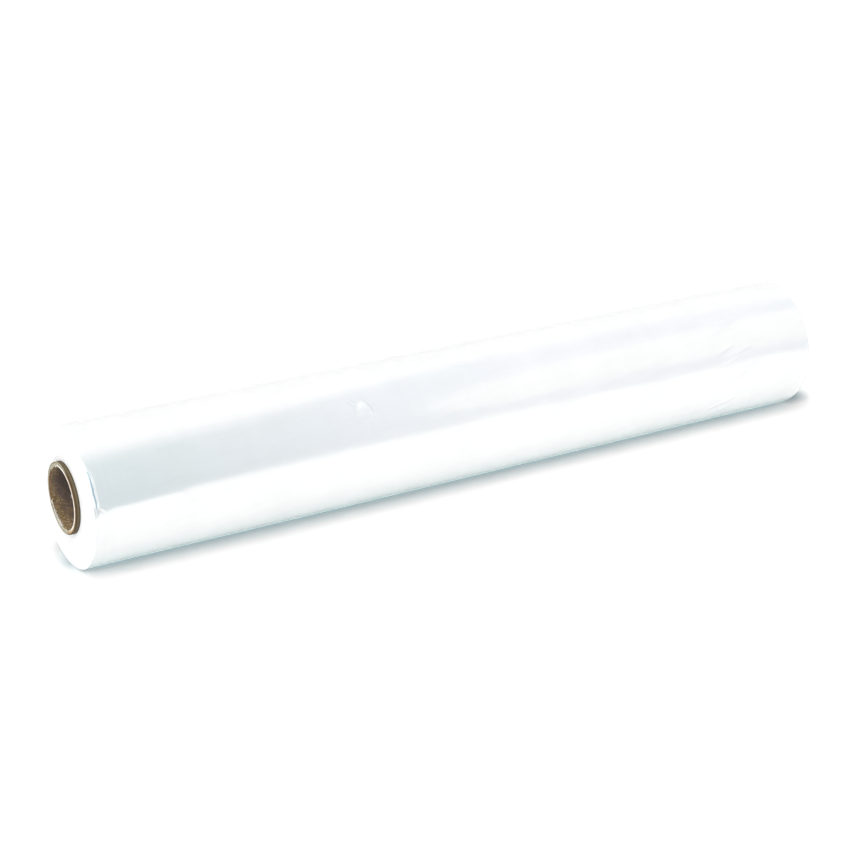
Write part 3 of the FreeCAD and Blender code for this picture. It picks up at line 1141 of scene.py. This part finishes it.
def makeWorld():
    world = bpy.data.worlds.new("studio")
    bpy.context.scene.world = world
    tree = emptyTree(world)
    ambient = addNode(tree, "ShaderNodeBackground", {"Color": studio["ambient"]}).outputs[0]
    white = addNode(tree, "ShaderNodeBackground", {"Color": (1, 1, 1, 1)}).outputs[0]
    both = addNode(tree, "ShaderNodeMixShader", {0: backdropRays(tree), 1: ambient, 2: white})
    addNode(tree, "ShaderNodeOutputWorld", {"Surface": both.outputs[0]})


def lengthOf(first, second):
    squares = [mathNode("POWER", value, 2.0) for value in (first, second)]
    return mathNode("SQRT", plus(*squares))


def awayFromFoot(spot, room, width, fades=(1, 1, 1, 1), slow=(1, 0)):
    # distance on the floor from the strip that the roll stands on, with the room at its ends
    past = []
    ends = ("X", filmLow.x - room[0], filmHigh.x + room[1], *fades[:2])
    sides = ("Y", -width / 2, width / 2, *fades[2:])
    for axis, low, high, lowFade, highFade in (ends, sides):
        before = times(minus(low, spot[axis]), lowFade)
        behind = times(minus(spot[axis], high), highFade)
        if axis == "Y":
            slower = plus(times(behind, slow[0]), slow[1])
            behind = mathNode("MINIMUM", behind, slower)
        past.append(larger(larger(before, behind), 0.0))
    return lengthOf(*past)


def makeFloor():
    material = bpy.data.materials.new("paleFloor")
    tree = emptyTree(material)
    spot = splitPlace(addNode(tree, "ShaderNodeTexCoord").outputs["Object"])
    # a shadow painted on the floor beside the roll's foot
    away = awayFromFoot(spot, studio["footRoom"], 0.0, studio["footFade"], studio["footSlow"])
    fromFoot = remap(away, 0.0, studio["footReach"])
    color = mixColors(fromFoot, studio["footColor"], studio["floorColor"])
    # and a wider painted shadow past the far end
    past, behind = studio["footEnd"]
    away = lengthOf(minus(spot["X"], filmHigh.x + past), minus(spot["Y"], behind))
    fromEnd = remap(away, *studio["footEndFade"])
    color = mixColors(fromEnd, studio["footEndColor"], color)
    # painted glow on the floor by distance from the roll, and for the film's gloss only a paler and bluer
    # floor: a painted reflection
    away = awayFromFoot(spot, studio["glowRoom"], studio["glowWidth"])
    gloss = firstRays(tree, "Is Glossy Ray")
    blue = times(gloss, remap(away, *studio["glossNear"]))
    color = mixColors(blue, color, studio["glossBlue"])
    board = addNode(tree, "ShaderNodeBsdfDiffuse", {"Color": color}).outputs[0]
    reached = remap(away, 0.0, studio["glowReach"])
    ramp = addNode(tree, "ShaderNodeValToRGB", {"Fac": reached})
    stops = ramp.color_ramp.elements
    for number, (distance, shade) in enumerate(studio["glow"]):
        stop = stops[number] if number < 2 else stops.new(1.0)
        stop.position = distance * mm / studio["glowReach"]
        stop.color = (*shade, 1)
    pale = times(gloss, remap(away, *studio["glossFoot"]))
    color = mixColors(pale, ramp.outputs["Color"], studio["glossPale"])
    seen = backdropRays(tree)
    lent = remap(reached, 0.4, 1.0, studio["glowLent"], 0.0)
    strength = plus(seen, times(minus(1.0, seen), lent))
    glow = addNode(tree, "ShaderNodeEmission", {"Color": color, "Strength": strength}).outputs[0]
    both = addNode(tree, "ShaderNodeAddShader", {0: board, 1: glow})
    addNode(tree, "ShaderNodeOutputMaterial", {"Surface": both.outputs[0]})
    corners = [(-9, -9, 0), (9, -9, 0), (9, 9, 0), (-9, 9, 0)]
    makeMesh("floor", corners, [(0, 1, 2, 3)], [material])


# A grey card, bent round the front of the roll, that only gloss sees: it draws the dim band on the film.
# Each outline gives degrees above the axis by metres along X. The notch is an opening in the card.
greyCard = {
    "radius": 0.17,
    "reach": (-0.34, 0.62),
    "step": 0.01,
    "angles": range(-12, 119),
    "low": [
        (-0.173, -4.8), (-0.146, -2.6), (-0.109, 2.4), (0.016, 4.7), (0.075, 7.7), (0.16, 6.1), (0.22, 3.5),
        (0.30, 5.4), (0.34, -1.0),
    ],
    "lowSoft": [(-0.15, 3.0), (-0.12, 9.0), (-0.06, 15.0), (0.02, 18.0)],
    "high": [
        (-0.176, 72), (-0.097, 80), (0.032, 94), (0.107, 100), (0.215, 100), (0.269, 98), (0.295, 95),
        (0.34, 92),
    ],
    "highSoft": [(-0.10, 36.0), (0.03, 20.0)],
    "notchLow": [(0.01, 40), (0.053, 24), (0.088, 20), (0.20, 23), (0.304, 20), (0.333, 15)],
    "notchHigh": [(0.01, 41), (0.094, 59), (0.133, 66), (0.204, 69), (0.286, 70), (0.332, 73)],
    "notchSoft": 9.0,
    "notchStart": (0.0, 0.09),
    "colors": [
        (-0.17, (0.25, 0.44, 0.48)), (-0.08, (0.45, 0.56, 0.62)), (-0.01, (0.61, 0.69, 0.79)),
        (0.05, (0.69, 0.78, 0.86)), (0.13, (0.82, 0.83, 0.92)), (0.28, (0.82, 0.83, 0.92)),
        (0.33, (0.72, 0.81, 0.90)),
    ],
}


def cardShade(x, angle):
    # the card's colour here, and how much of it there is
    def along(name):
        return readOutline(greyCard[name], x)

    def above(edge, soft):
        return smoothStep(edge - soft / 2, edge + soft / 2, angle)

    cover = above(along("low"), along("lowSoft")) * (1 - above(along("high"), along("highSoft")))
    soft = greyCard["notchSoft"]
    opening = above(along("notchLow"), soft) * (1 - above(along("notchHigh"), soft))
    opening *= smoothStep(*greyCard["notchStart"], x)
    bands = [[(place, shade[band]) for place, shade in greyCard["colors"]] for band in range(3)]
    return (*(readOutline(outline, x) for outline in bands), cover * (1 - opening))


def makeCard():
    start, end = greyCard["reach"]
    columns = round((end - start) / greyCard["step"]) + 1
    points = []
    shades = []
    for angle in greyCard["angles"]:
        for column in range(columns):
            x = start + column * greyCard["step"]
            points.append(aroundAxis(x, greyCard["radius"], radians(180 - angle)))
            shades.extend(cardShade(x, angle))
    faces = []
    for row in range(len(greyCard["angles"]) - 1):
        for column in range(columns - 1):
            corner = row * columns + column
            faces.append((corner, corner + 1, corner + columns + 1, corner + columns))
    material = bpy.data.materials.new("greyCard")
    tree = emptyTree(material)
    shade = addNode(tree, "ShaderNodeAttribute", attribute_name="shade").outputs
    glow = addNode(tree, "ShaderNodeEmission", {"Color": shade["Color"]}).outputs[0]
    clear = addNode(tree, "ShaderNodeBsdfTransparent").outputs[0]
    both = addNode(tree, "ShaderNodeMixShader", {0: shade["Alpha"], 1: clear, 2: glow})
    addNode(tree, "ShaderNodeOutputMaterial", {"Surface": both.outputs[0]})
    card = makeMesh("greyCard", points, faces, [material])
    card.data.attributes.new("shade", "FLOAT_COLOR", "POINT").data.foreach_set("color", shades)
    card.visible_camera = False
    card.visible_diffuse = False
    card.visible_transmission = False
    card.visible_shadow = False


makeCamera()
makeWorld()
makeFloor()
makeCard()
for lampName, lampValues in softLamps.items():
    makeSoftLamp(lampName, **lampValues)
bpy.context.scene.view_settings.view_transform = "Standard"
print("studio made")
